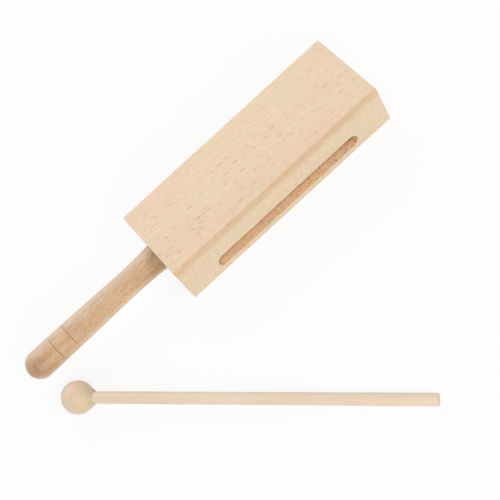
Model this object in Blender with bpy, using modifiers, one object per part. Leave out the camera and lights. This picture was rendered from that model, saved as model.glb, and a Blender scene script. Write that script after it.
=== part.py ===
"""A two-tone wood block on a turned handle, with its mallet lying beside it.

All sizes are in metres and +Z is up. The origin is the centre of the block's underside.
+X runs along the block, away from its handle, and the lower slot opens towards -Y.
"""

import math

import bmesh
import bpy

# Block: three tongues of wood, one above the other, parted by a slot from each long side
BLOCK_LENGTH = 0.200
BLOCK_WIDTH = 0.070
OUTER_TONGUE = 0.006
MIDDLE_TONGUE = 0.006
SLOT_HEIGHT = 0.012
SLOT_END_MARGIN = 0.030
SLOT_BACK_WALL = 0.018
STRUCK_EDGE_RADIUS = 0.003
PLAIN_EDGE_RADIUS = 0.001
SANDED_EDGE = 0.0005

# Bore for the handle, drilled into the end face and stopped short of the slots
BORE_RADIUS = 0.0117
BORE_OFF_CENTRE = 0.0017
WALL_BEHIND_BORE = 0.008

# Handle: each reach is counted outwards from the block's end face
HANDLE_REACH = 0.1303
GRIP_RADIUS = 0.0115
WAIST_RADIUS = 0.0102
WAIST_REACH = 0.034
GRIP_FULLNESS = 1.25
FIRST_GROOVE_FROM_TIP = 0.02855
GROOVE_SPACING = 0.01405
GROOVE_COUNT = 2
GROOVE_WIDTH = 0.0012
GROOVE_DEPTH = 0.0005
TENON_CHAMFER = 0.001

# Mallet: a ball with a short neck on a dowel, lying on the ball and on the dowel's far rim
MALLET_LENGTH = 0.2805
HEAD_RADIUS = 0.01265
NECK_LENGTH = 0.0008
NECK_RIM = 0.0004
SOCKET_DEPTH = 0.016
STICK_RADIUS = 0.0046
STICK_CHAMFER = 0.0004
HEAD_PLACE = (-0.2133, -0.0375)
MALLET_HEADING = math.radians(-45.3)

# Clearance of every glued joint, on the radius and at the end
GLUE_GAP = 0.0003

# Fineness of the round shapes
HANDLE_SIDES = 48
HEAD_SIDES = 40
STICK_SIDES = 24
ARC_STEP = math.radians(12)
LONGEST_STATION = 0.008
MERGE = 0.00001
SHARP_ANGLE = math.radians(35)

# Sizes that follow from the ones above
BLOCK_HEIGHT = 2 * (OUTER_TONGUE + SLOT_HEIGHT) + MIDDLE_TONGUE
SLOT_LENGTH = BLOCK_LENGTH - 2 * SLOT_END_MARGIN
SLOT_DEPTH = BLOCK_WIDTH - SLOT_BACK_WALL
BORE_DEPTH = SLOT_END_MARGIN - WALL_BEHIND_BORE
BORE_MOUTH = (-BLOCK_LENGTH / 2, BORE_OFF_CENTRE, BLOCK_HEIGHT / 2)
TENON_RADIUS = BORE_RADIUS - GLUE_GAP
TENON_DEPTH = BORE_DEPTH - GLUE_GAP
DOME_REACH = HANDLE_REACH - GRIP_RADIUS
SOCKET_RADIUS = STICK_RADIUS + GLUE_GAP
NECK_RADIUS = SOCKET_RADIUS + NECK_RIM
NECK_REACH = HEAD_RADIUS + NECK_LENGTH
SOCKET_BOTTOM = NECK_REACH - SOCKET_DEPTH
STICK_END = MALLET_LENGTH - HEAD_RADIUS


def srgb(red, green, blue):
    """A colour read off as 0 to 255 in a picture, in the linear values that Blender mixes."""
    shares = [value / 255 for value in (red, green, blue)]
    linear = [((s + 0.055) / 1.055) ** 2.4 if s > 0.04045 else s / 12.92 for s in shares]
    return (*linear, 1.0)


def clear_scene():
    for obj in list(bpy.data.objects):
        bpy.data.objects.remove(obj, do_unlink=True)


def new_collection(name):
    collection = bpy.data.collections.new(name)
    bpy.context.scene.collection.children.link(collection)
    return collection


def new_material(name, colour, roughness):
    material = bpy.data.materials.new(name)
    material.use_nodes = True
    shader = material.node_tree.nodes["Principled BSDF"]
    shader.inputs["Base Color"].default_value = colour
    shader.inputs["Roughness"].default_value = roughness
    shader.inputs["Metallic"].default_value = 0.0
    return material


def new_object(name, data, collection):
    obj = bpy.data.objects.new(name, data)
    collection.objects.link(obj)
    return obj


def make_cutter(obj):
    """Cutters only guide Boolean modifiers, so they stay out of renders and show as wires."""
    obj.hide_render = True
    obj.display_type = "WIRE"
    return obj


def arc(radius, start, end):
    """Points of a circular arc about the origin, both ends included."""
    count = max(2, math.ceil(abs(end - start) / ARC_STEP))
    angles = [start + (end - start) * i / count for i in range(count + 1)]
    return [(radius * math.cos(a), radius * math.sin(a)) for a in angles]


def stations(start, end):
    """Evenly spaced places from start up to but not including end."""
    count = max(1, math.ceil(abs(end - start) / LONGEST_STATION))
    return [start + (end - start) * i / count for i in range(count)]


def turned(name, profile, sides, collection):
    """A lathe turning about local Z, from (radius, height) points listed top to bottom."""
    mesh = bpy.data.meshes.new(name)
    points = [(radius, 0.0, height) for radius, height in profile]
    edges = [(i, i + 1) for i in range(len(points) - 1)]
    mesh.from_pydata(points, edges, [])
    obj = new_object(name, mesh, collection)
    screw = obj.modifiers.new("lathe", "SCREW")
    screw.axis = "Z"
    screw.angle = 2 * math.pi
    screw.steps = sides
    screw.render_steps = sides
    screw.use_merge_vertices = True
    screw.merge_threshold = MERGE
    bpy.context.view_layer.update()
    depsgraph = bpy.context.evaluated_depsgraph_get()
    obj.data = bpy.data.meshes.new_from_object(obj.evaluated_get(depsgraph))
    obj.modifiers.clear()
    bpy.data.meshes.remove(mesh)
    obj.data.name = name
    obj.data.shade_smooth()
    obj.data.set_sharp_from_angle(angle=SHARP_ANGLE)
    return obj


def subtract(obj, cutter):
    cut = obj.modifiers.new(cutter.name, "BOOLEAN")
    cut.operation = "DIFFERENCE"
    cut.solver = "EXACT"
    cut.object = cutter


def stadium(length, height):
    """Outline of a slot with half-round ends, centred on the origin."""
    radius = height / 2
    straight = length / 2 - radius
    right = [(straight + x, y) for x, y in arc(radius, -math.pi / 2, math.pi / 2)]
    left = [(-x, -y) for x, y in right]
    return right + left


def slot_cutter(name, side, height, collection):
    """Half-round-ended prism that mills one slot; side is -1 for the -Y face and 1 for +Y."""
    curve = bpy.data.curves.new(name, "CURVE")
    curve.dimensions = "2D"
    curve.fill_mode = "BOTH"
    overrun = SLOT_BACK_WALL / 2
    thickness = SLOT_DEPTH + overrun
    curve.extrude = thickness / 2
    outline = stadium(SLOT_LENGTH, SLOT_HEIGHT)
    spline = curve.splines.new("POLY")
    spline.points.add(len(outline) - 1)
    for point, (x, y) in zip(spline.points, outline):
        point.co = (x, y, 0.0, 1.0)
    spline.use_cyclic_u = True
    flat = new_object(name + "_outline", curve, collection)
    flat.rotation_euler = (math.pi / 2, 0.0, 0.0)
    middle = BLOCK_WIDTH / 2 + overrun - thickness / 2
    flat.location = (0.0, side * middle, height)
    bpy.context.view_layer.update()

    depsgraph = bpy.context.evaluated_depsgraph_get()
    mesh = bpy.data.meshes.new_from_object(flat.evaluated_get(depsgraph))
    welded = bmesh.new()
    welded.from_mesh(mesh)
    bmesh.ops.remove_doubles(welded, verts=welded.verts, dist=MERGE)
    bmesh.ops.recalc_face_normals(welded, faces=welded.faces)
    welded.to_mesh(mesh)
    welded.free()
    mesh.shade_smooth()
    cutter = make_cutter(new_object(name, mesh, collection))
    cutter.matrix_world = flat.matrix_world.copy()
    bpy.data.objects.remove(flat, do_unlink=True)
    return cutter


def bore_cutter(name, collection):
    """The handle's bore, started as far outside the block as it goes in."""
    shape = bmesh.new()
    bmesh.ops.create_cone(
        shape,
        cap_ends=True,
        segments=HANDLE_SIDES,
        radius1=BORE_RADIUS,
        radius2=BORE_RADIUS,
        depth=2 * BORE_DEPTH,
    )
    mesh = bpy.data.meshes.new(name)
    shape.to_mesh(mesh)
    shape.free()
    mesh.shade_smooth()
    cutter = make_cutter(new_object(name, mesh, collection))
    cutter.rotation_euler = (0.0, -math.pi / 2, 0.0)
    cutter.location = BORE_MOUTH
    return cutter


def long_edge(shape, y_side, z_side):
    """The block's edge along X on the given sides."""
    middle = BLOCK_HEIGHT / 2
    for edge in shape.edges:
        first, second = (vertex.co for vertex in edge.verts)
        along = abs(first.x - second.x) > BLOCK_LENGTH / 2
        if along and first.y * y_side > 0 and (first.z - middle) * z_side > 0:
            return edge
    return None


def make_block(parts, cutters):
    """A planed blank with two rounded edges, slotted from both sides and bored for the handle."""
    shape = bmesh.new()
    bmesh.ops.create_cube(shape, size=1.0)
    for vertex in shape.verts:
        vertex.co.x *= BLOCK_LENGTH
        vertex.co.y *= BLOCK_WIDTH
        vertex.co.z = (vertex.co.z + 0.5) * BLOCK_HEIGHT
    rounded = {
        (-1, 1): STRUCK_EDGE_RADIUS,
        (1, -1): STRUCK_EDGE_RADIUS,
        (-1, -1): PLAIN_EDGE_RADIUS,
        (1, 1): PLAIN_EDGE_RADIUS,
    }
    for (y_side, z_side), radius in rounded.items():
        bmesh.ops.bevel(
            shape,
            geom=[long_edge(shape, y_side, z_side)],
            offset=radius,
            offset_type="OFFSET",
            segments=6,
            profile=0.5,
            affect="EDGES",
        )
    mesh = bpy.data.meshes.new("block")
    shape.to_mesh(mesh)
    shape.free()
    mesh.shade_smooth()
    block = new_object("block", mesh, parts)

    lower = OUTER_TONGUE + SLOT_HEIGHT / 2
    subtract(block, slot_cutter("lower_slot", -1, lower, cutters))
    subtract(block, slot_cutter("upper_slot", 1, BLOCK_HEIGHT - lower, cutters))
    subtract(block, bore_cutter("handle_bore", cutters))

    sanded = block.modifiers.new("sanded edges", "BEVEL")
    sanded.width = SANDED_EDGE
    sanded.segments = 2
    sanded.limit_method = "ANGLE"
    sanded.angle_limit = SHARP_ANGLE
    sanded.harden_normals = True
    return block


def handle_radius(reach):
    """The flare at the block, the waist and the swell of the grip, as one smooth outline.

    A grip fullness of 1 would make the grip a straight cone, and more rounds it outwards.
    """
    if reach < WAIST_REACH:
        share = (WAIST_REACH - reach) / WAIST_REACH
        return WAIST_RADIUS + (TENON_RADIUS - WAIST_RADIUS) * share**2
    left = (DOME_REACH - reach) / (DOME_REACH - WAIST_REACH)
    return GRIP_RADIUS - (GRIP_RADIUS - WAIST_RADIUS) * max(left, 0.0) ** GRIP_FULLNESS


def handle_profile():
    """Outline from the domed tip down to the end of the tenon inside the bore."""
    dome = [(x, DOME_REACH + y) for x, y in arc(GRIP_RADIUS, math.pi / 2, 0.0)]
    outline = dome[:-1]
    reach = DOME_REACH
    for number in range(GROOVE_COUNT):
        groove = HANDLE_REACH - FIRST_GROOVE_FROM_TIP - number * GROOVE_SPACING
        upper = groove + GROOVE_WIDTH / 2
        outline += [(handle_radius(s), s) for s in stations(reach, upper)]
        outline.append((handle_radius(upper), upper))
        outline.append((handle_radius(groove) - GROOVE_DEPTH, groove))
        reach = groove - GROOVE_WIDTH / 2
    outline += [(handle_radius(s), s) for s in stations(reach, WAIST_REACH)]
    outline += [(handle_radius(s), s) for s in stations(WAIST_REACH, 0.0)]
    outline.append((TENON_RADIUS, 0.0))
    outline.append((TENON_RADIUS, TENON_CHAMFER - TENON_DEPTH))
    outline.append((TENON_RADIUS - TENON_CHAMFER, -TENON_DEPTH))
    outline.append((0.0, -TENON_DEPTH))
    return outline


def make_handle(parts):
    handle = turned("handle", handle_profile(), HANDLE_SIDES, parts)
    handle.location = BORE_MOUTH
    handle.rotation_euler = (0.0, -math.pi / 2, 0.0)
    return handle


def head_profile():
    """The socket, the rim of the neck, the neck's cone and the ball round to its far pole."""
    socket = [
        (0.0, SOCKET_BOTTOM),
        (SOCKET_RADIUS, SOCKET_BOTTOM),
        (SOCKET_RADIUS, NECK_REACH),
    ]
    rim = (NECK_RADIUS, NECK_REACH)
    # The cone runs from the rim to where a straight line just touches the ball
    touch = math.atan2(NECK_REACH, NECK_RADIUS) - math.acos(HEAD_RADIUS / math.hypot(*rim))
    ball = arc(HEAD_RADIUS, touch, 0.0) + arc(HEAD_RADIUS, 0.0, -math.pi / 2)[1:]
    ball[-1] = (0.0, -HEAD_RADIUS)
    return [*socket, rim, *ball]


def stick_profile():
    """The dowel, from its free end down to the end that stands in the ball's socket."""
    foot = SOCKET_BOTTOM + GLUE_GAP
    return [
        (0.0, STICK_END),
        (STICK_RADIUS - STICK_CHAMFER, STICK_END),
        (STICK_RADIUS, STICK_END - STICK_CHAMFER),
        (STICK_RADIUS, foot + STICK_CHAMFER),
        (STICK_RADIUS - STICK_CHAMFER, foot),
        (0.0, foot),
    ]


def make_mallet(parts):
    """Head and stick share an empty at the ball's centre, turned as the mallet lies."""
    rim = STICK_END - STICK_CHAMFER
    droop = math.asin(HEAD_RADIUS / math.hypot(rim, STICK_RADIUS)) - math.atan2(STICK_RADIUS, rim)
    lie = new_object("mallet_lie", None, parts)
    lie.location = (*HEAD_PLACE, HEAD_RADIUS)
    lie.rotation_euler = (0.0, math.pi / 2 + droop, MALLET_HEADING)
    head = turned("mallet_head", head_profile(), HEAD_SIDES, parts)
    stick = turned("mallet_stick", stick_profile(), STICK_SIDES, parts)
    head.parent = lie
    stick.parent = lie
    return head, stick


def main():
    clear_scene()
    parts = new_collection("wood_block")
    cutters = new_collection("cutters")

    block = make_block(parts, cutters)
    handle = make_handle(parts)
    head, stick = make_mallet(parts)

    finishes = {
        block: ("block_beech", srgb(236, 211, 181), 0.55),
        handle: ("handle_beech", srgb(229, 199, 167), 0.5),
        head: ("head_maple", srgb(230, 206, 176), 0.5),
        stick: ("stick_maple", srgb(232, 211, 186), 0.55),
    }
    for obj, (name, colour, roughness) in finishes.items():
        obj.data.materials.append(new_material(name, colour, roughness))


main()
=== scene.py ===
# %% [markdown]
# # A two-tone wood block, its handle and its mallet
# The real object is four pieces of bare wood: a slotted block of flat-sawn beech, a turned
# beech handle glued into its end, and a mallet made of a ball on a dowel. The solids come
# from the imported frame, so every size below is either read from there or is a real size that
# the photographed object has. This file makes the looks: finer meshes, wood and light.

# %% The fixed frame
import math

import bmesh
import bpy
from mathutils import Euler, Matrix, Vector


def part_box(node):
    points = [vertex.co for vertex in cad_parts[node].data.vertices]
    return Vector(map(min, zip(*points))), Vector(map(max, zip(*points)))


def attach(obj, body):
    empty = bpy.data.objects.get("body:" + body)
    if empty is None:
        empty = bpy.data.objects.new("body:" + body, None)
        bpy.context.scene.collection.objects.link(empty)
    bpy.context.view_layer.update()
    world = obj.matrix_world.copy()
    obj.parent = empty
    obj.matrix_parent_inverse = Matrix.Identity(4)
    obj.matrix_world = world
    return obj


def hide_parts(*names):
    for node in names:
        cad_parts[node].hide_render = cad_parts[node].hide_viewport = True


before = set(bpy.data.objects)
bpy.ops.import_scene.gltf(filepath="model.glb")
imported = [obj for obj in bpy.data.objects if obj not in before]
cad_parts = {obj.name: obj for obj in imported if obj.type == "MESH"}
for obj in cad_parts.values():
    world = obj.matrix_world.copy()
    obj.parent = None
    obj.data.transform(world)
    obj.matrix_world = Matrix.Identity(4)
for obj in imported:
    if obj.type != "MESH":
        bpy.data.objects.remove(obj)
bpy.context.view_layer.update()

# %% [markdown]
# ## The camera
# The photograph looks down on the block from the side of its lower slot, with the camera
# rolled so that the block runs up to the right. A camera could be aimed by eye, but the
# three edge directions of a box fix its place, its aim and its focal length together, so
# those values are written here as plain sizes and an angle.

# %% Camera at the photograph's angle
CAMERA_PLACE = Vector((-0.0861, -0.5450, 0.8020))
CAMERA_AIM = Vector((-0.04587, -0.03639, 0.0))
CAMERA_ROLL = math.radians(-38.8)
CAMERA_LENS_MM = 91.06
SENSOR_MM = 36.0
PHOTO_SIDE_PX = 500


def aim_camera():
    camera = bpy.data.objects.new("camera", bpy.data.cameras.new("camera"))
    bpy.context.scene.collection.objects.link(camera)
    camera.data.lens = CAMERA_LENS_MM
    camera.data.sensor_width = SENSOR_MM
    camera.data.clip_start = 0.05
    camera.data.clip_end = 20.0
    level = (CAMERA_AIM - CAMERA_PLACE).to_track_quat("-Z", "Y").to_matrix().to_4x4()
    roll = Matrix.Rotation(CAMERA_ROLL, 4, "Z")
    camera.matrix_world = Matrix.Translation(CAMERA_PLACE) @ level @ roll
    bpy.context.scene.camera = camera
    return camera


def photo_pixel(point):
    """Where a point of the object falls in the 500 x 500 photograph."""
    bpy.context.view_layer.update()
    seen = camera.matrix_world.inverted() @ Vector(point)
    focal_px = CAMERA_LENS_MM / SENSOR_MM * PHOTO_SIDE_PX
    middle = PHOTO_SIDE_PX / 2
    return middle + focal_px * seen.x / -seen.z, middle - focal_px * seen.y / -seen.z


camera = aim_camera()
block_low, block_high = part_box("block")
for name, corner in {
    "near top corner on the slot side": (block_low.x, block_low.y, block_high.z),
    "far top corner on the slot side": (block_high.x, block_low.y, block_high.z),
    "near top corner on the other side": (block_low.x, block_high.y, block_high.z),
}.items():
    print(name, "at pixel", [round(c, 1) for c in photo_pixel(corner)])

# %% [markdown]
# ## Writing nodes as arithmetic
# A shader is a formula, and a formula is easier to read as one line of Python than as thirty
# lines that make and link Math nodes. The class below wraps one output socket. Adding,
# multiplying or comparing two of them adds the Math node and returns its output, wrapped in
# turn. Geometry Nodes use the same Math node, so the same class serves both kinds of tree.

# %% Signals and graphs
class Signal:
    """One output socket of a node tree. Arithmetic on it adds Math nodes to that tree."""

    def __init__(self, graph, socket):
        self.graph = graph
        self.socket = socket

    def math(self, operation, *values):
        inputs = dict(enumerate(values))
        return self.graph.node("ShaderNodeMath", {"operation": operation}, inputs)["Value"]

    def __add__(self, other):
        return self.math("ADD", self, other)

    def __radd__(self, other):
        return self.math("ADD", other, self)

    def __sub__(self, other):
        return self.math("SUBTRACT", self, other)

    def __rsub__(self, other):
        return self.math("SUBTRACT", other, self)

    def __mul__(self, other):
        return self.math("MULTIPLY", self, other)

    def __rmul__(self, other):
        return self.math("MULTIPLY", other, self)

    def __truediv__(self, other):
        return self.math("DIVIDE", self, other)

    def __rtruediv__(self, other):
        return self.math("DIVIDE", other, self)

    def __pow__(self, other):
        return self.math("POWER", self, other)

    def __neg__(self):
        return self.math("MULTIPLY", self, -1.0)

    def __gt__(self, other):
        return self.math("GREATER_THAN", self, other)

    def __lt__(self, other):
        return self.math("LESS_THAN", self, other)

    def absolute(self):
        return self.math("ABSOLUTE", self)

    def root(self):
        return self.math("SQRT", self)

    def fraction(self):
        return self.math("FRACT", self)

    def at_least(self, other):
        return self.math("MAXIMUM", self, other)

    def at_most(self, other):
        return self.math("MINIMUM", self, other)

    def sine(self):
        return self.math("SINE", self)

    def cosine(self):
        return self.math("COSINE", self)

    def rounded(self):
        return self.math("ROUND", self)

    def rounded_up(self):
        return self.math("CEIL", self)

    def ramp(self, low, high, soft=True):
        """0 below low, 1 above high. With high under low it falls instead of rising."""
        settings = {"interpolation_type": "SMOOTHSTEP" if soft else "LINEAR"}
        made = self.graph.node(
            "ShaderNodeMapRange", settings, {"Value": self, "From Min": low, "From Max": high}
        )
        return made["Result"]


class Made:
    """A node that was just made; its outputs are read by name or place as signals."""

    def __init__(self, graph, node):
        self.graph = graph
        self.node = node

    def __getitem__(self, name):
        return Signal(self.graph, self.node.outputs[name])


class Graph:
    """A node tree that is written one node at a time."""

    def __init__(self, tree):
        self.tree = tree
        self.tree.nodes.clear()

    def node(self, kind, settings=None, inputs=None):
        made = self.tree.nodes.new(kind)
        for name, value in (settings or {}).items():
            setattr(made, name, value)
        for name, value in (inputs or {}).items():
            if isinstance(value, Signal):
                self.tree.links.new(value.socket, made.inputs[name])
            else:
                made.inputs[name].default_value = value
        return Made(self, made)

    def vector(self, x=0.0, y=0.0, z=0.0):
        return self.node("ShaderNodeCombineXYZ", None, {"X": x, "Y": y, "Z": z})["Vector"]

    def parts(self, vector):
        made = self.node("ShaderNodeSeparateXYZ", None, {"Vector": vector})
        return made["X"], made["Y"], made["Z"]

    def vector_math(self, operation, first, second, output="Vector"):
        inputs = {0: first, 1: second}
        return self.node("ShaderNodeVectorMath", {"operation": operation}, inputs)[output]

    def mix(self, first, second, share, blend="MIX"):
        """Two colours mixed; a colour is (red, green, blue, 1) or a signal."""
        settings = {"data_type": "RGBA", "blend_type": blend}
        # Its colour sockets have the same names as its number sockets, so they go by place.
        made = self.node("ShaderNodeMix", settings, {0: share, 6: first, 7: second})
        return made[2]


def srgb(red, green, blue):
    """A colour as read in a picture, 0 to 255, in the linear values that Blender mixes."""
    shares = [value / 255 for value in (red, green, blue)]
    linear = [((s + 0.055) / 1.055) ** 2.4 if s > 0.04045 else s / 12.92 for s in shares]
    return (*linear, 1.0)

# %% [markdown]
# ## Beech, as a solid
# Bare wood is a solid pattern that the saw and the lathe cut through, so one formula in the
# piece's own coordinates serves every face: it shows growth rings as broad figure on the top,
# as straight lines on the sides and as arcs on the end. An image could not turn a corner.
# What marks beech is its rays, thin upright ribbons that run outwards from the heart. The
# flat-sawn top cuts them into short dark dashes, and the end into fine upright lines.

# %% Measures of the timber, in millimetres
MM = 1000.0


class Timber:
    """One piece's wood: its colours, among them painted shades for its side and flat faces, and the
    sizes of its figure in millimetres.
    """

    def __init__(self, **measures):
        self.seed = 0.0
        self.pale = srgb(241, 215, 185)
        self.warm = srgb(239, 211, 181)
        self.straw = srgb(240, 216, 181)
        self.late = srgb(220, 186, 150)
        self.fleck = srgb(200, 136, 82)
        self.end = srgb(216, 198, 170)
        self.end_share = 0.85
        self.flat = srgb(255, 255, 255)
        self.side_shade = srgb(255, 255, 255)
        self.heart = (0.0, -110.0)
        self.ring_spacing = 4.2
        self.ring_share = 0.10
        self.ring_start = 0.35
        self.ring_edge = 0.07
        self.fibre_size = (6.0, 0.9, 0.9)
        self.fibre_share = 0.65
        self.fleck_size = (3.0, 0.66, 12.0)
        self.fleck_room = (9.5, 5.4, 20.0)
        self.fleck_share = 0.5
        self.fleck_depth = 0.95
        self.crowding = 1.0
        self.fleck_limit = 1000.0
        self.mottle_share = 0.45
        self.tilt = 0.0
        self.sheen = 0.2
        for name, value in measures.items():
            setattr(self, name, value)


def object_mm(graph):
    """The piece's own coordinates in millimetres."""
    place = graph.node("ShaderNodeTexCoord")["Object"]
    return graph.parts(graph.vector_math("MULTIPLY", place, (MM, MM, MM)))


def grain_place(graph, centre, turn):
    """Coordinates in the board's own directions: along the grain, across it, out from the heart."""
    coordinates = graph.node("ShaderNodeTexCoord")
    mapped = graph.node(
        "ShaderNodeMapping",
        {"vector_type": "TEXTURE"},
        {"Vector": coordinates["Object"], "Location": centre, "Rotation": turn},
    )["Vector"]
    scaled = graph.vector_math("MULTIPLY", mapped, (MM, MM, MM))
    facing = graph.node(
        "ShaderNodeMapping",
        {"vector_type": "TEXTURE"},
        {"Vector": coordinates["Normal"], "Rotation": turn},
    )["Vector"]
    return graph.parts(scaled), [axis.absolute() for axis in graph.parts(facing)]


def noise(graph, place, sizes, seed, detail=2.0, rough=0.5):
    """Noise whose blobs have these sizes along the board's directions; 0 to 1 about 0.5."""
    stretched = graph.vector(*(axis / size for axis, size in zip(place, sizes)))
    made = graph.node(
        "ShaderNodeTexNoise",
        {"noise_dimensions": "4D"},
        {"Vector": stretched, "W": seed, "Scale": 1.0, "Detail": detail, "Roughness": rough},
    )
    return made["Fac"]

# %% [markdown]
# ## Ray flecks
# Each ray is a flat lens of darker wood, a few millimetres along the grain, thin across it and
# deep. A Voronoi texture scatters one lens per cell, and its random colour decides which cells
# stay empty and how long and dark each fleck is. Drawn dashes would stop at the face, but
# these lenses carry on through the solid, as the real ones do.

# %% Lenses scattered through the wood
def flecks(graph, place, timber, seed, scale=1.0):
    """1 in the middle of a fleck and 0 outside; scale shrinks the flecks and their spacing."""
    size = [s * scale for s in timber.fleck_size]
    room = [r * scale for r in timber.fleck_room]
    cells = graph.vector(*(axis / gap for axis, gap in zip(place, room)))
    shifted = graph.vector_math("ADD", cells, (seed * 7.3, seed * 3.1, seed * 5.7))
    cell = graph.node(
        "ShaderNodeTexVoronoi",
        {"voronoi_dimensions": "3D", "feature": "F1"},
        {"Vector": shifted, "Scale": 1.0, "Randomness": 0.9},
    )
    away = graph.parts(graph.vector_math("SUBTRACT", shifted, cell["Position"]))
    luck = graph.node("ShaderNodeSeparateColor", None, {"Color": cell["Color"]})
    length = 0.45 + 0.95 * luck["Green"]
    reach = [a * (gap / half) for a, gap, half in zip(away, room, size)]
    far = ((reach[0] / length) ** 2.0 + reach[1] ** 2.0 + reach[2] ** 2.0).root()
    return far.ramp(1.0, 0.3) * (luck["Red"] < timber.fleck_share) * (0.5 + 0.5 * luck["Blue"])


def fleck_mask(graph, place, facing, timber):
    """Large and small flecks, crowded in places, full on the flat-sawn face and faint beside it."""
    crowd = noise(graph, place, (40.0, 11.0, 30.0), timber.seed + 6.0).ramp(0.34, 0.56)
    crowd = 1.0 - timber.crowding * (1.0 - crowd)
    stagger = noise(graph, place, (60.0, 7.0, 20.0), timber.seed + 10.0, detail=1.0)
    place = (place[0] + 14.0 * stagger, place[1], place[2])
    large = flecks(graph, place, timber, timber.seed + 1.0)
    small = flecks(graph, place, timber, timber.seed + 2.0, scale=0.5)
    inside = place[1].ramp(timber.fleck_limit, timber.fleck_limit - 12.0)
    beside = facing[1].ramp(0.5, 0.95)
    at_end = facing[0].ramp(0.5, 0.9)
    both = (large * (0.3 + 0.6 * crowd) + 0.65 * small * crowd).at_most(1.0)
    return both * inside * (1.0 - 0.88 * beside) * (1.0 - 0.85 * at_end)

# %% [markdown]
# ## The material of every wooden piece
# The layers follow what happened to the wood: ground colour and growth rings first, then
# fibres, then painted shade on faces that turn one way, then rays, then the end grain, which
# drinks light and looks greyer. A tool mark, such as a rubbed edge or a scorched groove, comes
# last together with the painted light and shade that a piece has in places, and differs from
# piece to piece, so it is handed in as a function. Roughness and bump are kept low, as on
# fine-sanded bare wood.

# %% The wood material
def beech(name, timber, centre, turn, marks_and_painted_light=None):
    """A wood material whose figure runs along the board's own first axis."""
    material = bpy.data.materials.new(name)
    material.use_nodes = True
    graph = Graph(material.node_tree)
    (along, across, out), facing = grain_place(graph, centre, turn)

    seed = timber.seed
    straight = (along, across, out)
    sway = noise(graph, straight, (80.0, 30.0, 30.0), seed) - 0.5
    wobble = noise(graph, straight, (16.0, 9.0, 20.0), seed + 8.0) - 0.5
    lift = noise(graph, straight, (130.0, 45.0, 45.0), seed + 4.0) - 0.5
    across = across + timber.tilt * along + 5.0 * sway + 2.0 * wobble
    out = out + 6.0 * lift
    place = (along, across, out)

    heart = ((across - timber.heart[0]) ** 2.0 + (out - timber.heart[1]) ** 2.0).root()
    ring = (heart / timber.ring_spacing + seed).fraction()
    crest = 1.0 - timber.ring_edge
    late = ring.ramp(timber.ring_start, crest) * ring.ramp(1.0, crest)

    cloud = noise(graph, place, (60.0, 13.0, 10.0), seed + 1.0, detail=3.0)
    blush = noise(graph, place, (35.0, 9.0, 9.0), seed + 2.0, detail=3.0)
    fibre = noise(graph, place, timber.fibre_size, seed + 3.0, detail=3.0, rough=0.6)
    fine = noise(graph, place, (2.2, 0.16, 0.16), seed + 5.0, detail=1.0)
    mottle = noise(graph, place, (1.4, 4.0, 5.0), seed + 9.0, detail=3.0, rough=0.6)
    rays = fleck_mask(graph, place, facing, timber)

    colour = graph.mix(timber.pale, timber.warm, cloud.ramp(0.35, 0.65))
    colour = graph.mix(colour, timber.straw, blush.ramp(0.45, 0.70))
    colour = graph.mix(colour, timber.late, late * timber.ring_share)
    colour = graph.mix(colour, timber.late, fibre.ramp(0.42, 0.75) * timber.fibre_share)
    beside = facing[1].ramp(0.3, 0.9)
    colour = graph.mix(colour, timber.late, mottle.ramp(0.42, 0.70) * beside * timber.mottle_share)
    # Painted shade: the faces beside the heart, the block's upright sides, are multiplied darker
    # and greyer.
    colour = graph.mix(colour, timber.side_shade, beside, blend="MULTIPLY")
    # Painted shade: the flat-sawn face, which the handle turns up and towards the slot side, is
    # multiplied darker.
    colour = graph.mix(colour, timber.flat, facing[2].ramp(0.76, 0.97), blend="MULTIPLY")
    colour = graph.mix(colour, timber.fleck, rays * timber.fleck_depth)

    lines = noise(graph, place, (6.0, 0.9, 14.0), seed + 7.0, detail=2.0)
    grey = graph.mix(timber.end, timber.fleck, lines.ramp(0.42, 0.66) * 0.3 + late * 0.15)
    colour = graph.mix(colour, grey, facing[0].ramp(0.35, 0.95) * timber.end_share)
    if marks_and_painted_light:
        colour = marks_and_painted_light(graph, colour)

    height = 0.5 * fibre + 0.35 * fine - 0.25 * rays
    bump = graph.node(
        "ShaderNodeBump", None, {"Height": height, "Strength": 0.2, "Distance": 0.00006}
    )
    shader = graph.node(
        "ShaderNodeBsdfPrincipled",
        None,
        {
            "Base Color": colour,
            "Roughness": 0.50 + 0.10 * (fibre - 0.5) - 0.05 * rays,
            "Sheen Weight": timber.sheen,
            "Normal": bump["Normal"],
        },
    )
    graph.node("ShaderNodeOutputMaterial", None, {"Surface": shader["BSDF"]})
    print(name, "has", len(material.node_tree.nodes), "nodes")
    return material

# %% [markdown]
# ## The block
# A real block starts as a planed blank. A router rounds two of its long edges, a cutter mills
# one slot from each side, a flat-bottomed bit drills the bore and a light sanding breaks
# every sharp edge. The same steps in the same order make the mesh: bevelled edges first, then
# Booleans, then one fine Bevel that finds whatever is still sharp. A box with holes drawn
# face by face would need all those rims by hand.

# %% Sizes of the block, in metres
BLOCK_SIZE = block_high - block_low
SLOT_HEIGHT = 0.012
SLOT_END_MARGIN = 0.030
SLOT_BACK_WALL = 0.018
OUTER_TONGUE = 0.006
ROUTED_EDGE_RADIUS = 0.003
PLAIN_EDGE_RADIUS = 0.001
SANDED_EDGE = 0.0005
SANDED_ANGLE = math.radians(35)  # a sharper edge than this is sanded
BORE_RADIUS = 0.0117
BORE_OFF_CENTRE = 0.0017
BORE_DEPTH = 0.022
BORE_MOUTH = Vector((block_low.x, BORE_OFF_CENTRE, block_high.z / 2))
EDGE_STEPS, SANDED_STEPS, SLOT_END_STEPS, BORE_SIDES = 10, 3, 24, 96
MERGE = 0.00001


def link(name, mesh):
    obj = bpy.data.objects.new(name, mesh)
    bpy.context.scene.collection.objects.link(obj)
    return obj


def mesh_from(shape, name):
    """A bmesh written out as a mesh and freed."""
    mesh = bpy.data.meshes.new(name)
    shape.to_mesh(mesh)
    shape.free()
    return mesh


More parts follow.
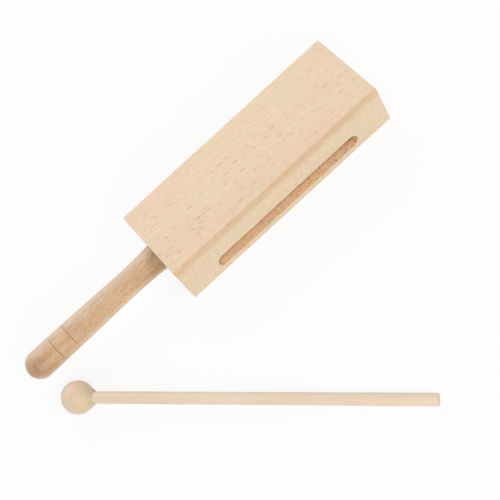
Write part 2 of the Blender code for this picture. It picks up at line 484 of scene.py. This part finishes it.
def settle(obj):
    """Turns what the modifiers make into the object's own plain mesh."""
    bpy.context.view_layer.update()
    evaluated = obj.evaluated_get(bpy.context.evaluated_depsgraph_get())
    mesh = bpy.data.meshes.new_from_object(evaluated)
    obj.modifiers.clear()
    obj.data = mesh
    mesh.name = obj.name
    return obj


def blank():
    """The planed box with its four long edges rounded, two of them broadly."""
    shape = bmesh.new()
    bmesh.ops.create_cube(shape, size=1.0)
    centre = (block_low + block_high) / 2
    for vertex in shape.verts:
        vertex.co = Vector(c * s for c, s in zip(vertex.co, BLOCK_SIZE)) + centre
    for side, level, radius in (
        (-1, 1, ROUTED_EDGE_RADIUS),
        (1, -1, ROUTED_EDGE_RADIUS),
        (-1, -1, PLAIN_EDGE_RADIUS),
        (1, 1, PLAIN_EDGE_RADIUS),
    ):
        edge = next(
            e
            for e in shape.edges
            if e.calc_length() > 0.9 * BLOCK_SIZE.x
            and e.verts[0].co.y * side > 0
            and (e.verts[0].co.z - centre.z) * level > 0
        )
        bmesh.ops.bevel(
            shape,
            geom=[edge],
            offset=radius,
            offset_type="OFFSET",
            segments=EDGE_STEPS,
            profile=0.5,
            affect="EDGES",
        )
    return mesh_from(shape, "block_wood")


def stadium_prism(name, side, height):
    """What the slot cutter sweeps: a prism with half-round ends, from outside the face inwards."""
    radius = SLOT_HEIGHT / 2
    straight = BLOCK_SIZE.x / 2 - SLOT_END_MARGIN - radius
    outline = []
    for end in (1, -1):
        for i in range(SLOT_END_STEPS + 1):
            angle = math.pi * i / SLOT_END_STEPS - math.pi / 2
            x = end * (straight + radius * math.cos(angle))
            outline.append((x, end * radius * math.sin(angle)))
    outside = side * (BLOCK_SIZE.y / 2 + SLOT_BACK_WALL / 2)
    inside = -side * (BLOCK_SIZE.y / 2 - SLOT_BACK_WALL)
    shape = bmesh.new()
    rim = [shape.verts.new((x, outside, height + z)) for x, z in outline]
    face = shape.faces.new(rim)
    pushed = bmesh.ops.extrude_face_region(shape, geom=[face])
    for item in pushed["geom"]:
        if isinstance(item, bmesh.types.BMVert):
            item.co.y = inside
    bmesh.ops.recalc_face_normals(shape, faces=shape.faces)
    return link(name, mesh_from(shape, name))


def bore_plug():
    """What the drill takes out: a round bar that stands as far out of the end as it goes in."""
    shape = bmesh.new()
    bmesh.ops.create_cone(
        shape,
        cap_ends=True,
        segments=BORE_SIDES,
        radius1=BORE_RADIUS,
        radius2=BORE_RADIUS,
        depth=2 * BORE_DEPTH,
    )
    plug = link("bore_plug", mesh_from(shape, "bore_plug"))
    plug.matrix_world = Matrix.Translation(BORE_MOUTH) @ Matrix.Rotation(-math.pi / 2, 4, "Y")
    return plug


def make_block():
    """The blank with its slots and its bore cut, and then every sharp edge sanded."""
    block = link("block_wood", blank())
    lower = OUTER_TONGUE + SLOT_HEIGHT / 2
    cutters = [
        stadium_prism("lower_slot", -1, lower),
        stadium_prism("upper_slot", 1, BLOCK_SIZE.z - lower),
        bore_plug(),
    ]
    for cutter in cutters:
        cut = block.modifiers.new(cutter.name, "BOOLEAN")
        cut.solver = "EXACT"
        cut.object = cutter
    sanded = block.modifiers.new("sanded edges", "BEVEL")
    sanded.width = SANDED_EDGE
    sanded.segments = SANDED_STEPS
    sanded.limit_method = "ANGLE"
    sanded.angle_limit = SANDED_ANGLE
    for target in [block, *cutters]:
        target.data.shade_smooth()
    sanded.harden_normals = True
    settle(block)
    for cutter in cutters:
        bpy.data.objects.remove(cutter, do_unlink=True)
    return block


block = make_block()
print("block:", len(block.data.polygons), "faces")

# %% [markdown]
# ## The block's wood
# The grain of this board runs a few degrees off the block's length, and its rays thin out
# towards the side of the upper slot, where the board was cut nearer to the quarter. Its upright
# sides are a shade greyer and darker than the top, as painted shade. The two routed edges are a
# little darker, partly as painted shade and partly because the turning cutter rubbed and warmed
# them. Inside the slots the colour is painted lighter and warmer, as painted light, with short
# upright tears that the cutter left; it is browner deep inside, as painted shade, and browner
# towards each slot's end at +X. Those marks follow the cuts and not the grain, so they read the
# block's own coordinates. They could be painted by hand, but a rule keeps them in place if the
# block's size changes.

# %% Rubbed edges with painted shade, painted light and shade in the milled slots, and flat-sawn wood
# Edge and slot colours: the edge colour is partly painted shade, the slot lift is painted light,
# and the last colour is painted shade deep in the slots and browner wood at their +X ends.
RUBBED_AND_SHADED = srgb(235, 215, 193)
SLOT_PAINTED_LIGHT = (1.12, 1.04, 0.89, 1.0)
TORN = srgb(205, 172, 138)
SLOT_BROWN = srgb(190, 164, 128)
RUBBED_AND_SHADED_SHARE, DEPTH_SHADE_SHARE, FAR_END_SHARE = 0.8, 0.3, 0.6
PATCH_HEIGHT = 7.0
PATCH_SIZE, TEAR_SIZE = (14.0, 6.0, 5.0), (1.6, 5.0, 5.0)


def cut_marks_and_painted_light(graph, colour):
    """The darker band along the routed edges, partly painted shade; in the slots painted light,
    torn wood, painted shade deep inside and browner wood at one end.
    """
    place = x, y, z = object_mm(graph)
    level = z - block_high.z / 2 * MM
    # How far inside the nearest end, side, and top or bottom a point lies, in millimetres.
    from_end = block_high.x * MM - x.absolute()
    from_side = block_high.y * MM - y.absolute()
    from_top = block_high.z / 2 * MM - level.absolute()

    patches = PATCH_HEIGHT * (noise(graph, place, PATCH_SIZE, 11.0, detail=3.0) - 0.5)
    band = (from_top - patches).ramp(9.0, 1.0, soft=False) * from_side.ramp(2.6, 1.4)
    routed = (y * level) < 0.0
    # Painted shade and a rubbed tone together: the routed edges are multiplied darker.
    colour = graph.mix(colour, RUBBED_AND_SHADED, RUBBED_AND_SHADED_SHARE * band * routed, blend="MULTIPLY")

    in_slot = from_side.ramp(0.3, 0.8) * from_end.ramp(25.0, 29.0) * from_top.ramp(5.0, 6.2)
    torn = noise(graph, place, TEAR_SIZE, 12.0, detail=2.0, rough=0.6).ramp(0.50, 0.68)
    roughest = 0.4 + 0.5 * x.ramp(-50.0, 60.0)
    # Painted shade: darker deep inside the slot. Apart from that, browner towards each slot's end
    # at +X.
    painted_depth_shade = from_side.ramp(5.5, 8.0)
    far_end_brown = from_side.ramp(3.0, 7.0) * x.ramp(56.0, 66.0)
    shade_and_brown = DEPTH_SHADE_SHARE * painted_depth_shade + FAR_END_SHARE * far_end_brown
    # Painted light: the slot's inside is multiplied lighter and warmer, for light bounced about in
    # it.
    colour = graph.mix(colour, SLOT_PAINTED_LIGHT, in_slot, blend="MULTIPLY")
    colour = graph.mix(colour, TORN, in_slot * torn * roughest, blend="MULTIPLY")
    return graph.mix(colour, SLOT_BROWN, in_slot * shade_and_brown, blend="MULTIPLY")


block.data.materials.clear()
block.data.materials.append(
    beech(
        "block_beech",
        Timber(seed=1.0, tilt=0.14, fleck_limit=20.0, side_shade=srgb(244, 248, 246)),
        (0.0, 0.0, 0.0),
        (0.0, 0.0, 0.0),
        cut_marks_and_painted_light,
    )
)
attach(block, "block_body")
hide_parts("block")

# %% [markdown]
# ## The handle
# The real handle comes off a lathe: one outline turned about one axis, with a tenon for the
# bore, a flare, a waist, a swelling grip, a domed tip and two fine grooves. Every point of it
# follows from how far out it lies, so Geometry Nodes can hold that rule: a flat grid is given
# a ring number and an angle at each point and is rolled up into the handle. Changing one
# named input then reshapes the whole, where a hand-drawn profile would be drawn again.

# %% Sizes of the handle, in metres; each reach is counted out from the block's end face
GLUE_GAP = 0.0003
HANDLE_REACH = BORE_MOUTH.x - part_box("handle")[0].x
GROOVE_SPACING = 0.01405
RINGS_BETWEEN_GROOVES = 50
FOOT_RINGS = 2  # the middle of the tenon's end, and the rim inside its chamfer
HANDLE_SIZES = {
    "Tenon radius": BORE_RADIUS - GLUE_GAP,
    "Tenon depth": BORE_DEPTH - GLUE_GAP,
    "Tenon chamfer": 0.001,
    "Waist reach": 0.034,
    "Waist radius": 0.0102,
    "Grip radius": 0.0115,
    "Grip fullness": 1.25,
    "Tip reach": HANDLE_REACH,
    "First groove": 0.02855,
    "Groove spacing": GROOVE_SPACING,
    "Groove width": 0.0012,
    "Groove depth": 0.0005,
    "Ring step": GROOVE_SPACING / RINGS_BETWEEN_GROOVES,
}
HANDLE_COUNTS = {"Grooves": 2, "Sides": 96, "Shaft rings": 500, "Dome rings": 40}
print("handle reaches", round(HANDLE_REACH * MM, 1), "mm out of the block")

# %% A tree that turns the handle
def new_tree(name, floats, integers):
    """An empty geometry tree with named inputs; returns its graph and the inputs as signals."""
    tree = bpy.data.node_groups.new(name, "GeometryNodeTree")
    for label in floats:
        tree.interface.new_socket(label, in_out="INPUT", socket_type="NodeSocketFloat")
    for label in integers:
        tree.interface.new_socket(label, in_out="INPUT", socket_type="NodeSocketInt")
    tree.interface.new_socket("Geometry", in_out="OUTPUT", socket_type="NodeSocketGeometry")
    graph = Graph(tree)
    given = graph.node("NodeGroupInput")
    return graph, {label: given[label] for label in [*floats, *integers]}


def handle_tree(material):
    """A grid whose rows become rings: the tenon's foot, then the shaft, then the domed tip."""
    graph, size = new_tree("turned_handle", HANDLE_SIZES, HANDLE_COUNTS)
    tenon, waist, grip = size["Tenon radius"], size["Waist radius"], size["Grip radius"]
    rings = size["Shaft rings"] + size["Dome rings"] + (FOOT_RINGS + 1)
    grid = graph.node(
        "GeometryNodeMeshGrid",
        None,
        {"Size X": 1.0, "Size Y": 1.0, "Vertices X": rings, "Vertices Y": size["Sides"] + 1},
    )
    place = graph.node("GeometryNodeInputPosition")["Position"]
    across, round_about, _ = graph.parts(place)
    ring = ((across + 0.5) * (rings - 1)).rounded()
    angle = (round_about + 0.5) * (2 * math.pi)

    shaft_start = size["Tenon chamfer"] - size["Tenon depth"]
    shaft_end = size["Tip reach"] - grip
    outer_groove = size["Tip reach"] - size["First groove"]
    lead = ((outer_groove - shaft_start) / size["Ring step"]).rounded_up()
    station = outer_groove + (ring - FOOT_RINGS - lead) * size["Ring step"]
    station = station.at_least(shaft_start).at_most(shaft_end)

    flare = (size["Waist reach"] - station) / size["Waist reach"]
    flare = flare.at_least(0.0).at_most(1.0)
    left = (shaft_end - station) / (shaft_end - size["Waist reach"])
    left = left.at_least(0.0).at_most(1.0)
    radius = grip - (grip - waist) * left ** size["Grip fullness"] + (tenon - waist) * flare * flare

    number = (outer_groove - station) / size["Groove spacing"]
    nearest = number.rounded().at_least(0.0).at_most(size["Grooves"] - 1)
    away = (number - nearest).absolute() * size["Groove spacing"]
    radius = radius - size["Groove depth"] * away.ramp(size["Groove width"] / 2, 0.0, soft=False)

    dome = (ring - FOOT_RINGS - size["Shaft rings"]) / size["Dome rings"]
    dome = dome.at_least(0.0).at_most(1.0) * (math.pi / 2)
    reach = station + grip * dome.sine()
    radius = radius * dome.cosine()

    at_end = ring < 1.5
    reach = at_end * (-size["Tenon depth"]) + (1 - at_end) * reach
    radius = at_end * (tenon - size["Tenon chamfer"]) + (1 - at_end) * radius
    radius = radius * (ring > 0.5)

    turned = graph.vector(
        BORE_MOUTH.x - reach,
        BORE_MOUTH.y + radius * angle.cosine(),
        BORE_MOUTH.z + radius * angle.sine(),
    )
    rolled = graph.node(
        "GeometryNodeSetPosition", None, {"Geometry": grid["Mesh"], "Position": turned}
    )
    closed = graph.node(
        "GeometryNodeMergeByDistance", None, {"Geometry": rolled["Geometry"], "Distance": MERGE / 2}
    )
    smooth = graph.node(
        "GeometryNodeSetShadeSmooth", None, {"Geometry": closed["Geometry"], "Shade Smooth": True}
    )
    real = graph.node("GeometryNodeRealizeInstances", None, {"Geometry": smooth["Geometry"]})
    painted = graph.node(
        "GeometryNodeSetMaterial", None, {"Geometry": real["Geometry"], "Material": material}
    )
    graph.node("NodeGroupOutput", None, {"Geometry": painted["Geometry"]})
    return graph.tree


def grown(name, tree, values):
    """An object whose mesh is what the tree makes from these named inputs."""
    obj = link(name, bpy.data.meshes.new(name))
    modifier = obj.modifiers.new(name, "NODES")
    modifier.node_group = tree
    for item in tree.interface.items_tree:
        if item.in_out == "INPUT" and item.name in values:
            modifier[item.identifier] = values[item.name]
    return settle(obj)

# %% [markdown]
# ## The handle's wood
# The handle is beech again, a shade pinker and darker than the block, with its rays standing
# close together as fine dark strokes. Its flat-sawn face is turned up and towards the slot
# side, and painted shade darkens that face all along, more beside the block, where the block
# keeps light off; a darker streak shows on it again at the tip. The turner's point scorched the
# bottom of each groove, so a thin brown line is laid over the wood at the same places where the
# tree cuts them.

# %% Painted shade, scorched grooves and turned wood
SCORCHED = srgb(128, 74, 34)
# Painted shade beside the block, and a darker streak at the tip.
SHADE_AND_STREAK = srgb(218, 206, 192)
SCORCHED_SHARE, SHADE_AND_STREAK_SHARE = 0.6, 0.85
SHADE_AND_STREAK_TILTS = (math.radians(75), math.radians(48))  # from upright: in its run, at its ends
BLOTCH_REACH, BLOTCH_SIZE = 6.0, (9.0, 5.0, 5.0)
HANDLE_TILT = math.radians(53)
HANDLE_TURN = (HANDLE_TILT, 0.0, 0.0)


def shade_and_turning_marks(graph, colour):
    """Painted shade beside the block and a darker streak at the tip, on the side turned up and
    towards the slot, and the brown line in each groove.
    """
    place = x, y, z = object_mm(graph)
    reach = BORE_MOUTH.x * MM - x
    up, out = z - BORE_MOUTH.z * MM, BORE_MOUTH.y * MM - y
    low, high = (up * math.cos(tilt) + out * math.sin(tilt) for tilt in SHADE_AND_STREAK_TILTS)
    blotch = BLOTCH_REACH * noise(graph, place, BLOTCH_SIZE, 21.0)
    # Painted shade near the block, where the block's end keeps light off; a darker streak near the
    # tip.
    block_shade = (reach + blotch).ramp(32.0, 6.0)
    near_tip = (reach + blotch).ramp(98.0, 128.0)
    flat_way = low + (high - low) * (reach.ramp(14.0, 5.0) + near_tip)
    facing = (flat_way + 0.5 * blotch).ramp(6.5, 12.5)
    shade_and_streak = SHADE_AND_STREAK_SHARE * (block_shade + near_tip) * facing
    colour = graph.mix(colour, SHADE_AND_STREAK, shade_and_streak, blend="MULTIPLY")

    spacing = GROOVE_SPACING * MM
    outer = (HANDLE_REACH - HANDLE_SIZES["First groove"]) * MM
    number = (outer - reach) / spacing
    nearest = number.rounded().at_least(0.0).at_most(HANDLE_COUNTS["Grooves"] - 1)
    away = (number - nearest).absolute() * spacing
    return graph.mix(colour, SCORCHED, SCORCHED_SHARE * away.ramp(0.38, 0.08))


handle_timber = Timber(
    seed=7.0,
    pale=srgb(227, 198, 166),
    warm=srgb(220, 187, 155),
    straw=srgb(221, 193, 155),
    late=srgb(190, 150, 112),
    fleck=srgb(150, 100, 60),
    end=srgb(184, 140, 100),
    end_share=0.7,
    # painted shade on the flat-sawn face
    flat=srgb(244, 234, 220),
    heart=(0.0, -30.0),
    ring_spacing=3.4,
    ring_share=0.22,
    ring_edge=0.2,
    fibre_size=(13.0, 0.9, 0.9),
    fibre_share=0.85,
    fleck_size=(2.4, 0.30, 8.0),
    fleck_room=(5.0, 1.4, 11.0),
    fleck_share=0.8,
    fleck_depth=0.8,
    crowding=0.5,
    mottle_share=0.2,
    sheen=0.45,
)
handle_wood = beech(
    "handle_beech", handle_timber, tuple(BORE_MOUTH), HANDLE_TURN, shade_and_turning_marks
)
handle = grown("handle_wood", handle_tree(handle_wood), {**HANDLE_SIZES, **HANDLE_COUNTS})
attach(handle, "block_body")
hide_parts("handle")
print("handle:", len(handle.data.polygons), "faces")

# %% [markdown]
# ## The mallet
# The mallet is a turned ball with a short cone for a neck and a blind socket, glued on a
# dowel. It lies on the ball and on the dowel's far rim, so the stick slopes down a little.
# Both shapes are plain profiles, so here the lathe is bmesh's own spin operator, which suits
# a short outline better than a node tree would.

# %% Sizes of the mallet, in metres
MALLET_LENGTH = 0.2805
HEAD_RADIUS = 0.01265
NECK_LENGTH = 0.0008
NECK_RIM = 0.0004
SOCKET_DEPTH = 0.016
STICK_RADIUS = 0.0046
STICK_CHAMFER = 0.0004
BALL_STEPS = 64
HEAD_PLACE = (-0.2133, -0.0375)
MALLET_HEADING = math.radians(-45.3)
HEAD_CENTRE = Vector((*HEAD_PLACE, HEAD_RADIUS))
NECK_REACH = HEAD_RADIUS + NECK_LENGTH
SOCKET_RADIUS = STICK_RADIUS + GLUE_GAP
SOCKET_BOTTOM = NECK_REACH - SOCKET_DEPTH
STICK_END = MALLET_LENGTH - HEAD_RADIUS
far_rim = STICK_END - STICK_CHAMFER
rim_angle = math.atan2(STICK_RADIUS, far_rim)
DROOP = math.asin(HEAD_RADIUS / math.hypot(far_rim, STICK_RADIUS)) - rim_angle
AIM = Euler((0.0, math.pi / 2 + DROOP, MALLET_HEADING)).to_matrix().to_4x4()
LIE = Matrix.Translation(HEAD_CENTRE) @ AIM
print("the stick slopes down by", round(math.degrees(DROOP), 2), "degrees")

# %% A lathe for short outlines
def arc(radius, start, end, steps):
    angles = [start + (end - start) * i / steps for i in range(steps + 1)]
    return [(radius * math.cos(a), radius * math.sin(a)) for a in angles]


def turned(name, profile, sides, crisp):
    """(radius, height) points spun about Z, then laid as the mallet lies; crisp is the angle
    from which an edge stays sharp."""
    shape = bmesh.new()
    points = [shape.verts.new((radius, 0.0, height)) for radius, height in profile]
    edges = [shape.edges.new(pair) for pair in zip(points, points[1:])]
    bmesh.ops.spin(
        shape,
        geom=points + edges,
        cent=(0, 0, 0),
        axis=(0, 0, 1),
        angle=2 * math.pi,
        steps=sides,
        use_merge=True,
    )
    bmesh.ops.remove_doubles(shape, verts=shape.verts, dist=MERGE / 2)
    bmesh.ops.recalc_face_normals(shape, faces=shape.faces)
    shape.transform(LIE)
    obj = link(name, mesh_from(shape, name))
    obj.data.shade_smooth()
    obj.data.set_sharp_from_angle(angle=crisp)
    return obj


def head_profile():
    """The socket, the rim of the neck, the neck's cone and the ball round to its far pole."""
    rim = (SOCKET_RADIUS + NECK_RIM, NECK_REACH)
    touch = math.atan2(rim[1], rim[0]) - math.acos(HEAD_RADIUS / math.hypot(*rim))
    ball = arc(HEAD_RADIUS, touch, -math.pi / 2, BALL_STEPS)
    ball[-1] = (0.0, -HEAD_RADIUS)
    floor, wall = (SOCKET_RADIUS, SOCKET_BOTTOM), (SOCKET_RADIUS, NECK_REACH)
    return [(0.0, SOCKET_BOTTOM), floor, wall, rim, *ball]


def stick_profile():
    """The dowel with its two chamfered ends."""
    foot = SOCKET_BOTTOM + GLUE_GAP
    near = (STICK_RADIUS - STICK_CHAMFER, foot)
    far = (STICK_RADIUS - STICK_CHAMFER, STICK_END)
    side = [(STICK_RADIUS, STICK_END - STICK_CHAMFER), (STICK_RADIUS, foot + STICK_CHAMFER)]
    return [(0.0, STICK_END), far, *side, near, (0.0, foot)]


head = turned("mallet_head_wood", head_profile(), sides=96, crisp=math.radians(40))
stick = turned("mallet_stick_wood", stick_profile(), sides=64, crisp=math.radians(30))
for piece in (head, stick):
    print(piece.name, len(piece.data.polygons), "faces")

# %% [markdown]
# ## The mallet's wood
# The ball was turned from a strip whose fibres lie across the stick, so its growth rings show
# as soft pinkish and straw bands side by side, and it is darker towards its end around the
# stick. The stick's fibres run along it and it is nearly plain. A board's three directions
# are a turned set of axes, and a matrix made of those axes gives the angles that the Mapping
# node needs.

# %% Directions of the two grains
def turn_of(along, out):
    """Euler angles of a board whose fibres run along, and whose heart lies behind out."""
    along = along.normalized()
    across = out.cross(along).normalized()
    axes = Matrix((along, across, along.cross(across))).transposed()
    return tuple(axes.to_euler())


UP = Vector((0.0, 0.0, 1.0))
stick_way = LIE.to_3x3() @ UP
level_way = UP.cross(stick_way)
head_turn = turn_of(level_way, UP)
stick_turn = turn_of(stick_way, UP)

head_timber = Timber(
    seed=3.0,
    pale=srgb(242, 222, 193),
    warm=srgb(236, 212, 182),
    straw=srgb(231, 216, 184),
    late=srgb(226, 182, 146),
    fleck=srgb(190, 152, 116),
    end=srgb(230, 211, 182),
    end_share=0.5,
    heart=(86.0, -14.0),
    ring_spacing=20.0,
    ring_share=0.5,
    ring_start=0.25,
    ring_edge=0.45,
    fibre_size=(8.0, 0.8, 0.8),
    fibre_share=0.25,
    fleck_depth=0.1,
    mottle_share=0.05,
    sheen=0.6,
)
stick_timber = Timber(
    seed=5.0,
    pale=srgb(238, 217, 193),
    warm=srgb(233, 209, 184),
    straw=srgb(234, 214, 185),
    late=srgb(216, 189, 160),
    fleck=srgb(206, 172, 138),
    end=srgb(214, 188, 156),
    heart=(0.0, -60.0),
    ring_share=0.12,
    fibre_share=0.25,
    fleck_depth=0.1,
    mottle_share=0.05,
    sheen=0.4,
)
NECK_TONE = srgb(224, 217, 203)


def darker_neck(graph, colour):
    """The ball is darker towards the end that the stick goes into."""
    place = graph.node("ShaderNodeTexCoord")["Object"]
    outwards = graph.vector_math("SUBTRACT", place, tuple(HEAD_CENTRE))
    reach = graph.vector_math("DOT_PRODUCT", outwards, tuple(stick_way), output="Value") * MM
    return graph.mix(colour, NECK_TONE, reach.ramp(2.0, 12.0, soft=False), blend="MULTIPLY")


head_wood = beech("head_maple", head_timber, tuple(HEAD_CENTRE), head_turn, darker_neck)
head.data.materials.append(head_wood)
stick.data.materials.append(beech("stick_maple", stick_timber, tuple(HEAD_CENTRE), stick_turn))
for piece, node, slot in (
    (head, "mallet_head", "head_maple"),
    (stick, "mallet_stick", "stick_maple"),
):
    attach(piece, "mallet")
    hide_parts(node)

# %% [markdown]
# ## Floor, light and background
# The shades in the photograph tell how it was lit. Tops and upright sides are about equally
# bright, even the floor of the slot is, and surfaces that tilt away from the camera carry a
# thin grey veil. So one broad soft lamp stands in front, over the camera's side, and another
# stands behind, low enough that its reflection lies on the tilted surfaces as that veil. A dim
# white world fills the rest. One lamp right above would leave the slot black, and a sun would
# give hard shadows that the photograph doesn't have.

# %% The white room
ROOM_LEVEL = 0.20
WHITE = (1.0, 1.0, 1.0, 1.0)


def seen_directly(graph):
    """1 for rays that show a surface to the lens or in a reflection, 0 for rays that light it."""
    ray = graph.node("ShaderNodeLightPath")
    return (ray["Is Camera Ray"] + ray["Is Glossy Ray"] + ray["Is Transmission Ray"]).at_most(1.0)


def white_room():
    world = bpy.data.worlds.new("white_room")
    bpy.context.scene.world = world
    world.use_nodes = True
    graph = Graph(world.node_tree)
    level = ROOM_LEVEL + (1.0 - ROOM_LEVEL) * seen_directly(graph)
    sky = graph.node("ShaderNodeBackground", None, {"Color": WHITE, "Strength": level})
    graph.node("ShaderNodeOutputWorld", None, {"Surface": sky["Background"]})


white_room()

# %% The floor, and two lamps
FLOOR_HALF = 6.0
FLOOR_PAPER = (0.92, 0.92, 0.92, 1.0)
SHADOW_SHARE = 0.15
SHADOW_FADE = (0.8, 0.3)  # metres from the middle: where the shadow is gone, and where full
LAMP_DISTANCE = 1.6
LAMP_SIDE = 1.8
LAMPS = {"front": ((-0.05, -0.78, 0.62), 0.98), "behind": ((0.05, 0.88, 0.46), 0.88)}


def make_floor():
    """Paper that lights the object as paper does and looks white, with a pale shadow round it."""
    shape = bmesh.new()
    bmesh.ops.create_grid(shape, x_segments=1, y_segments=1, size=FLOOR_HALF)
    floor = link("floor", mesh_from(shape, "floor"))
    material = bpy.data.materials.new("white_floor")
    material.use_nodes = True
    graph = Graph(material.node_tree)
    paper = graph.node("ShaderNodeBsdfDiffuse", None, {"Color": FLOOR_PAPER})
    shaded = graph.node("ShaderNodeBsdfDiffuse", None, {"Color": WHITE})
    plain = graph.node("ShaderNodeEmission", None, {"Color": WHITE, "Strength": 1.0})
    place = graph.node("ShaderNodeTexCoord")["Object"]
    away = graph.node("ShaderNodeVectorMath", {"operation": "LENGTH"}, {0: place})["Value"]
    share = SHADOW_SHARE * away.ramp(*SHADOW_FADE)
    looks = graph.node(
        "ShaderNodeMixShader", None, {0: share, 1: plain["Emission"], 2: shaded["BSDF"]}
    )
    both = graph.node(
        "ShaderNodeMixShader", None, {0: seen_directly(graph), 1: paper["BSDF"], 2: looks["Shader"]}
    )
    graph.node("ShaderNodeOutputMaterial", None, {"Surface": both["Shader"]})
    floor.data.materials.append(material)


def soft_lamp(name, direction, level):
    """A square lamp aimed at the origin, which gives white paper there this brightness."""
    lamp = bpy.data.lights.new(name, "AREA")
    lamp.shape = "SQUARE"
    lamp.size = LAMP_SIDE
    lamp.energy = level * (math.pi * LAMP_DISTANCE) ** 2
    obj = link(name, lamp)
    obj.location = Vector(direction).normalized() * LAMP_DISTANCE
    obj.rotation_euler = Vector(direction).to_track_quat("Z", "Y").to_euler()
    print(name, "lamp:", round(lamp.energy, 1), "W")


make_floor()
for name, (direction, level) in LAMPS.items():
    soft_lamp(name, direction, level)
bpy.context.scene.view_settings.view_transform = "Standard"
